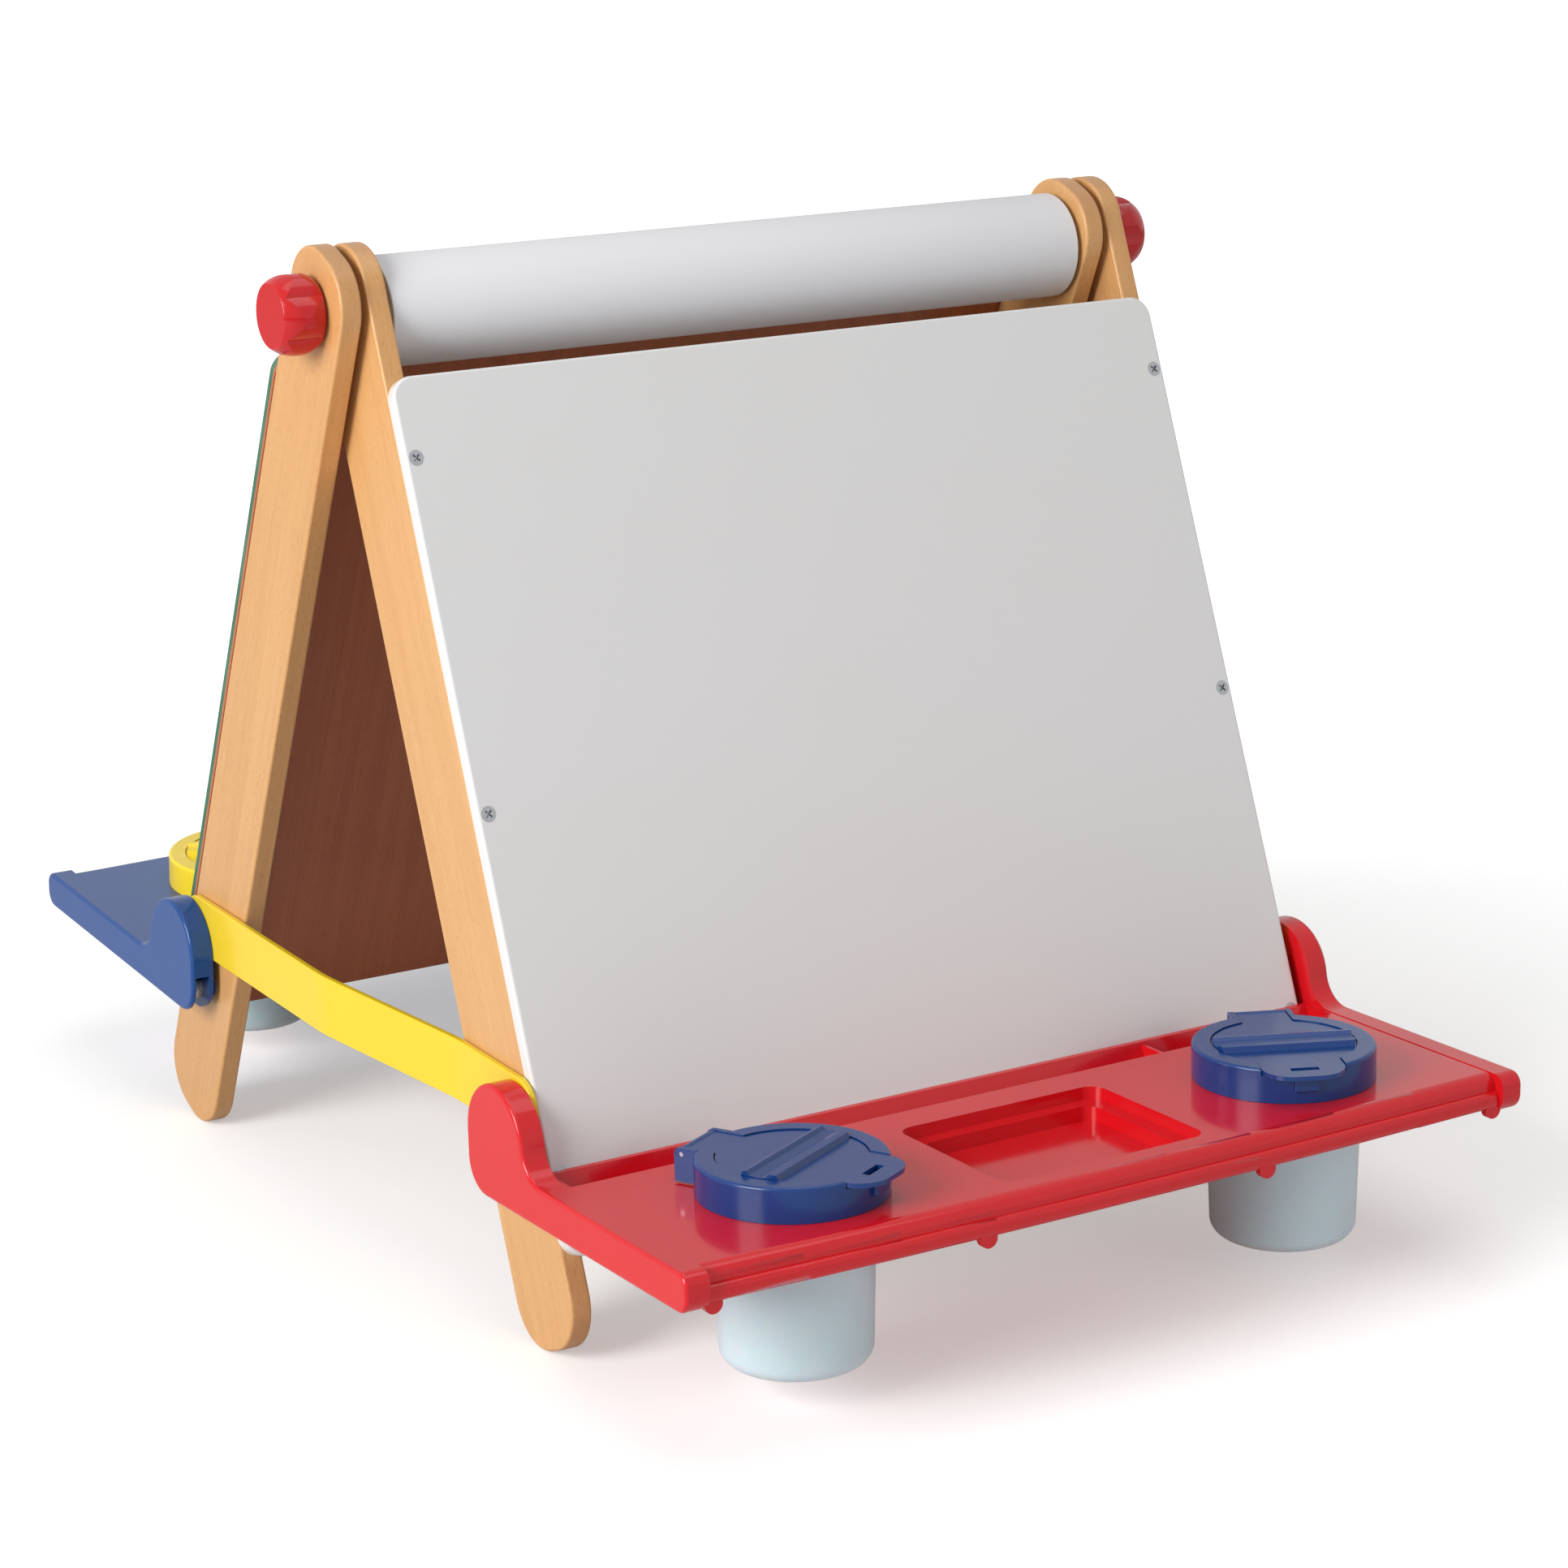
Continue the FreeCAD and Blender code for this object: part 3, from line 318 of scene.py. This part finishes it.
# %% Make the laminate
def melamine(name):
    """White pressed laminate with a slow ripple."""
    material, tree, shader = start_material(name, IOR=1.5, Coat_Weight=0.4, Coat_Roughness=0.06)
    coords = add(tree, "ShaderNodeTexCoord")
    ripple = add(tree, "ShaderNodeTexNoise", {"Scale": 1 / (14 * MM), "Detail": 1.0},
                 {"Vector": coords.outputs["Object"]})
    haze = add(tree, "ShaderNodeMapping", {"Scale": per_mm(140, 70, 70)},
               {"Vector": coords.outputs["Object"]})
    haze = add(tree, "ShaderNodeTexNoise", {"Scale": 1.0, "Detail": 1.0},
               {"Vector": haze.outputs[0]})
    shine = add(tree, "ShaderNodeMapRange", {"To Min": 0.22, "To Max": 0.24},
                {"Value": haze.outputs["Fac"]})
    colour = add(tree, "ShaderNodeMix", {6: linear("#DDDDDD"), 7: linear("#DCDBDA")},
                 {0: haze.outputs["Fac"]}, data_type="RGBA")
    bump = add(tree, "ShaderNodeBump", {"Strength": 0.03, "Distance": 0.1 * MM},
               {"Height": ripple.outputs["Fac"]})
    tree.links.new(colour.outputs[2], shader.inputs["Base Color"])
    tree.links.new(shine.outputs[0], shader.inputs["Roughness"])
    tree.links.new(bump.outputs[0], shader.inputs["Normal"])
    return material


white_laminate = melamine("pressed_melamine")
print("laminate", white_laminate.name)

# %% [markdown]
# ## Chalkboard
# Chalkboard paint is a rolled matt coat with a fine tooth that holds the
# chalk. A used board never wipes quite clean, so pale dust lies in soft
# smears over the green.

# %% Make the chalkboard paint
def chalkboard_paint(name):
    """Matt green paint with tooth and wiped chalk dust."""
    material, tree, shader = start_material(name, IOR=1.5, Roughness=0.85)
    coords = add(tree, "ShaderNodeTexCoord")
    smear = add(tree, "ShaderNodeMapping", {"Scale": per_mm(60, 40, 140),
                                            "Rotation": (0, math.radians(35), 0)},
                {"Vector": coords.outputs["Object"]})
    smear = add(tree, "ShaderNodeTexNoise", {"Scale": 1.0, "Detail": 6.0, "Distortion": 0.8},
                {"Vector": smear.outputs[0]})
    dust = add(tree, "ShaderNodeMapRange", {"From Min": 0.45, "From Max": 0.85, "To Max": 0.28},
               {"Value": smear.outputs["Fac"]})
    tooth = add(tree, "ShaderNodeTexNoise", {"Scale": 1 / (0.9 * MM), "Detail": 2.0},
                {"Vector": coords.outputs["Object"]})
    colour = add(tree, "ShaderNodeMix", {6: linear("#3C6852"), 7: linear("#A9BCB2")},
                 {0: dust.outputs[0]}, data_type="RGBA")
    bump = add(tree, "ShaderNodeBump", {"Strength": 0.3, "Distance": 0.1 * MM},
               {"Height": tooth.outputs["Fac"]})
    tree.links.new(colour.outputs[2], shader.inputs["Base Color"])
    tree.links.new(bump.outputs[0], shader.inputs["Normal"])
    return material


green_paint = chalkboard_paint("rolled_chalkboard_paint")
print("chalkboard", green_paint.name)

# %% [markdown]
# ## Moulded plastic
# Trays, lids, braces and knobs are injection moulded. The tools are polished,
# so the skin is glossy, but it is never a perfect mirror: it carries a faint
# orange peel, a little flow marking in the pigment, and fine scuffs from
# handling that dull the shine in patches.

# %% Make the moulded plastics
def moulded(name, colour, shade, gloss, peel_mm=2.2, coat=0.1):
    """Polished injection moulding with flow marks, orange peel and light scuffs."""
    material, tree, shader = start_material(name, IOR=1.53, Specular_IOR_Level=0.36,
                                            Coat_Weight=coat, Coat_Roughness=0.05)
    coords = add(tree, "ShaderNodeTexCoord")
    flow = add(tree, "ShaderNodeMapping", {"Scale": per_mm(70, 26, 26)},
               {"Vector": coords.outputs["Object"]})
    flow = add(tree, "ShaderNodeTexNoise", {"Scale": 1.0, "Detail": 3.0, "Distortion": 1.2},
               {"Vector": flow.outputs[0]})
    scuff = add(tree, "ShaderNodeMapping", {"Scale": per_mm(2.5, 14, 14),
                                            "Rotation": (0.3, 0.2, 0.9)},
                {"Vector": coords.outputs["Object"]})
    scuff = add(tree, "ShaderNodeTexNoise", {"Scale": 1.0, "Detail": 5.0},
                {"Vector": scuff.outputs[0]})
    shine = add(tree, "ShaderNodeMapRange", {"From Min": 0.4, "From Max": 0.8,
                                             "To Min": gloss, "To Max": gloss + 0.06},
                {"Value": scuff.outputs["Fac"]})
    peel = add(tree, "ShaderNodeTexNoise", {"Scale": 1 / (peel_mm * MM), "Detail": 1.0},
               {"Vector": coords.outputs["Object"]})
    tint = add(tree, "ShaderNodeMix", {6: linear(colour), 7: linear(shade)},
               {0: flow.outputs["Fac"]}, data_type="RGBA")
    bump = add(tree, "ShaderNodeBump", {"Strength": 0.05, "Distance": 0.03 * MM},
               {"Height": peel.outputs["Fac"]})
    tree.links.new(tint.outputs[2], shader.inputs["Base Color"])
    tree.links.new(shine.outputs[0], shader.inputs["Roughness"])
    tree.links.new(bump.outputs[0], shader.inputs["Normal"])
    return material


red_abs = moulded("red_abs_tray", "#D3161F", "#CD121D", 0.12)
blue_abs = moulded("blue_abs_tray", "#0F478C", "#0D4285", 0.18)
knob_abs = moulded("red_abs_knob", "#C4171C", "#BA1218", 0.14, 1.8)
lid_blue = moulded("blue_polypropylene_lid", "#103B7C", "#0D3574", 0.22)
lid_yellow = moulded("yellow_polypropylene_lid", "#FADB2C", "#F5D426", 0.24)
brace_yellow = moulded("yellow_polypropylene_brace", "#EBCB22", "#E6C51E", 0.22)
spacer_nylon = moulded("natural_nylon", "#D8D4CC", "#CCC7BD", 0.4, 1.5, 0.0)
print("plastics", red_abs.name, blue_abs.name, lid_blue.name)

# %% [markdown]
# ## Frosted cups
# The cups are blow-moulded natural polyethylene, which is milky rather than clear: light goes in,
# scatters and leaves elsewhere. A rough transmission with some subsurface scattering gives that soft
# glow, and a fine grain on the surface keeps the highlight broad. The milk colour carries a pink
# tint, which is a painted reflection of red light from the red tray above.

# %% Make the frosted plastic
material, tree, shader = start_material(
    "frosted_polyethylene", Roughness=0.5, IOR=1.51, Transmission_Weight=0.05,
    Subsurface_Weight=0.7, Subsurface_Scale=20 * MM)
coords = add(tree, "ShaderNodeTexCoord")
grain = add(tree, "ShaderNodeTexNoise", {"Scale": 1 / (0.8 * MM), "Detail": 2.0},
            {"Vector": coords.outputs["Object"]})
cloud = add(tree, "ShaderNodeTexNoise", {"Scale": 1 / (22 * MM), "Detail": 2.0},
            {"Vector": coords.outputs["Object"]})
# pink tint: painted reflection of the red tray's light on the cups
milk_and_painted_red_reflection = add(tree, "ShaderNodeMix", {6: linear("#FFE9EC"), 7: linear("#FCE2E6")},
           {0: cloud.outputs["Fac"]}, data_type="RGBA")
bump = add(tree, "ShaderNodeBump", {"Strength": 0.15, "Distance": 0.05 * MM},
           {"Height": grain.outputs["Fac"]})
tree.links.new(milk_and_painted_red_reflection.outputs[2], shader.inputs["Base Color"])
tree.links.new(bump.outputs[0], shader.inputs["Normal"])
frosted = material
print("cups", frosted.name)

# %% [markdown]
# ## Metal
# Screws, bolts, nuts, studs and pins are zinc-plated steel. Plating is shiny
# but not polished, so it breaks reflections up with a fine spangle. The
# inserts are turned brass.

# %% Make the metals
def plated(name, colour, shade, rough):
    """Plated or turned metal with a fine spangle."""
    material, tree, shader = start_material(name, Metallic=1.0)
    coords = add(tree, "ShaderNodeTexCoord")
    spangle = add(tree, "ShaderNodeTexNoise", {"Scale": 1 / (0.7 * MM), "Detail": 3.0},
                  {"Vector": coords.outputs["Object"]})
    tint = add(tree, "ShaderNodeMix", {6: linear(colour), 7: linear(shade)},
               {0: spangle.outputs["Fac"]}, data_type="RGBA")
    shine = add(tree, "ShaderNodeMapRange", {"To Min": rough, "To Max": rough + 0.2},
                {"Value": spangle.outputs["Fac"]})
    tree.links.new(tint.outputs[2], shader.inputs["Base Color"])
    tree.links.new(shine.outputs[0], shader.inputs["Roughness"])
    return material


zinc = plated("zinc_plated_steel", "#C9CBCD", "#9FA2A6", 0.24)
brass = plated("turned_brass", "#D8B25E", "#B8923F", 0.28)
print("metals", zinc.name, brass.name)

# %% [markdown]
# ## Paper
# The roll is drawing paper wound on a board core. Paper is matt and slightly
# uneven, and its ends show the edges of hundreds of turns. The core is grey
# board wound in a spiral.

# %% Make the paper and the core board
def wound_paper(name, colour, shade, turn_mm, fibre_mm):
    """Paper or board whose turns show as rings on the ends."""
    material, tree, shader = start_material(name, Roughness=0.85, IOR=1.45)
    coords = add(tree, "ShaderNodeTexCoord")
    centred = add(tree, "ShaderNodeVectorMath", {1: roll_place}, {0: coords.outputs["Object"]},
                  operation="SUBTRACT")
    flat = add(tree, "ShaderNodeVectorMath", {1: (0, 1, 1)}, {0: centred.outputs[0]},
               operation="MULTIPLY")
    radius = add(tree, "ShaderNodeVectorMath", links={0: flat.outputs[0]}, operation="LENGTH")
    rings = add(tree, "ShaderNodeMath", {1: 1 / (turn_mm * MM)}, {0: radius.outputs["Value"]},
                operation="MULTIPLY")
    rings = add(tree, "ShaderNodeTexNoise", {"Scale": 1.0, "Detail": 2.0},
                {"W": rings.outputs[0]}, noise_dimensions="1D")
    end = add(tree, "ShaderNodeVectorMath", {1: (1, 0, 0)}, {0: coords.outputs["Normal"]},
              operation="DOT_PRODUCT")
    end = add(tree, "ShaderNodeMath", links={0: end.outputs["Value"]}, operation="ABSOLUTE")
    layers = add(tree, "ShaderNodeMath", links={0: rings.outputs["Fac"], 1: end.outputs[0]},
                 operation="MULTIPLY")
    fibre = add(tree, "ShaderNodeTexNoise", {"Scale": 1 / (fibre_mm * MM), "Detail": 4.0},
                {"Vector": coords.outputs["Object"]})
    tint = add(tree, "ShaderNodeMix", {6: linear(colour), 7: linear(shade)},
               {0: layers.outputs[0]}, data_type="RGBA")
    bump = add(tree, "ShaderNodeBump", {"Strength": 0.12, "Distance": 0.1 * MM},
               {"Height": fibre.outputs["Fac"]})
    tree.links.new(tint.outputs[2], shader.inputs["Base Color"])
    tree.links.new(bump.outputs[0], shader.inputs["Normal"])
    return material


paper = wound_paper("uncoated_drawing_paper", "#E4E4E7", "#B9B7B4", 0.9, 1.6)
core_board = wound_paper("spiral_wound_core_board", "#B9A184", "#94795A", 0.7, 1.2)
print("paper", paper.name, core_board.name)

# %% [markdown]
# A plain tube would miss what makes a roll read as paper: the loose end that
# lies as a thin step along the whole length, and ends where the turns have
# slipped a little past each other. The roll is lofted from rings of points.
# Its outside shrinks by one sheet over a full turn, which leaves the step,
# and each ring of the ends is set in by its own small amount.

# %% Wind the paper roll
roll_low, roll_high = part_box("paper_roll")
core_low, core_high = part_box("roll_core")
ROLL_OUT = (roll_high.z - roll_low.z) / 2
CORE_PLAY = 0.05 * MM
ROLL_IN = (core_high.z - core_low.z) / 2 + CORE_PLAY
SHEET_STEP = 0.35 * MM           # a curled paper edge stands off more than its thickness
EDGE_ROUND = 0.9 * MM
TURNS = 96
LOOSE_END = math.radians(248)    # where the free end lies, low on the board side


def slip(ring):
    """How far one ring of turns has slipped back from the roll's end."""
    return (0.10 + 0.16 * math.sin(ring * 2.1) * math.sin(ring * 0.83)) * MM + 0.02 * MM


def roll_section(half):
    """The outline of the paper from its inner end to its outer end, as (x, radius)."""
    rings = [ROLL_IN + (ROLL_OUT - EDGE_ROUND - ROLL_IN) * k / 9 for k in range(10)]
    ends = [(half - slip(k) - 0.16 * MM, radius) for k, radius in enumerate(rings)]
    rounding = [(half - 0.1 * MM - EDGE_ROUND * (1 - math.cos(a)),
                 ROLL_OUT - EDGE_ROUND * (1 - math.sin(a))) for a in (0.35, 0.8, 1.2, math.pi / 2)]
    right = ends + rounding
    left = [(-x, radius) for x, radius in reversed(right)]
    return right + left


mesh = bmesh.new()
section = roll_section((roll_high.x - roll_low.x) / 2)
rows = []
for k in range(TURNS + 1):
    angle = LOOSE_END + 2 * math.pi * k / TURNS
    shrink = SHEET_STEP * (1 - k / TURNS)
    spiral = [(x, radius - shrink if radius > ROLL_IN + MM else radius) for x, radius in section]
    rows.append([mesh.verts.new((x, radius * math.cos(angle), radius * math.sin(angle)))
                 for x, radius in spiral])
count = len(section)
for a, b in zip(rows, rows[1:]):
    for i in range(count):
        mesh.faces.new((a[i], a[(i + 1) % count], b[(i + 1) % count], b[i]))
for i in range(count):
    quad = (rows[-1][i], rows[-1][(i + 1) % count], rows[0][(i + 1) % count], rows[0][i])
    mesh.faces.new(quad)
bmesh.ops.remove_doubles(mesh, verts=mesh.verts, dist=1e-6)
bmesh.ops.recalc_face_normals(mesh, faces=mesh.faces)
roll_mesh = bpy.data.meshes.new("wound_paper_roll")
mesh.to_mesh(roll_mesh)
mesh.free()
for face in roll_mesh.polygons:
    face.use_smooth = True
wound_roll = bpy.data.objects.new("wound_paper_roll", roll_mesh)
bpy.context.scene.collection.objects.link(wound_roll)
wound_roll.location = ((roll_low.x + roll_high.x) / 2, roll_place.y, roll_place.z)
bpy.context.view_layer.update()
roll_mesh.transform(wound_roll.matrix_world)
wound_roll.location = (0, 0, 0)
roll_mesh.materials.append(paper)
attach(wound_roll, "roll")
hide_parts("paper_roll")
print("paper roll", len(roll_mesh.vertices), "points, radius", round(ROLL_OUT, 4))

# %% [markdown]
# ## Dress the construction pieces
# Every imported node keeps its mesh. Its material slots take the finish that
# was made for it.

# %% Assign the finishes
def dress(node, material):
    """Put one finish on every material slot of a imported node."""
    for material_slot in nodes[node].material_slots:
        material_slot.material = material


finishes = dict(legs)
finishes.update({
    "roll_dowel": rod_wood, "whiteboard": white_laminate, "chalkboard": green_paint,
    "chalkboard_backing": veneer_wood_painted_shade, "red_tray": red_abs, "blue_tray": blue_abs,
    "brace_left": brace_yellow, "brace_right": brace_yellow, "knob_left": knob_abs,
    "knob_right": knob_abs, "hinge_spacers": spacer_nylon, "dowel_inserts": brass,
    "paper_roll": paper, "roll_core": core_board})
for node in nodes:
    if node.startswith("cup_"):
        finishes[node] = frosted
    elif node.startswith(("lid_front", "flap_front")):
        finishes[node] = lid_blue
    elif node.startswith(("lid_rear", "flap_rear")):
        finishes[node] = lid_yellow
    finishes.setdefault(node, zinc)
for node, material in finishes.items():
    dress(node, material)
print(len(finishes), "nodes dressed")

# %% [markdown]
# ## Finish
# The view transform stays plain so that colours render as written.

bpy.context.scene.view_settings.view_transform = "Standard"
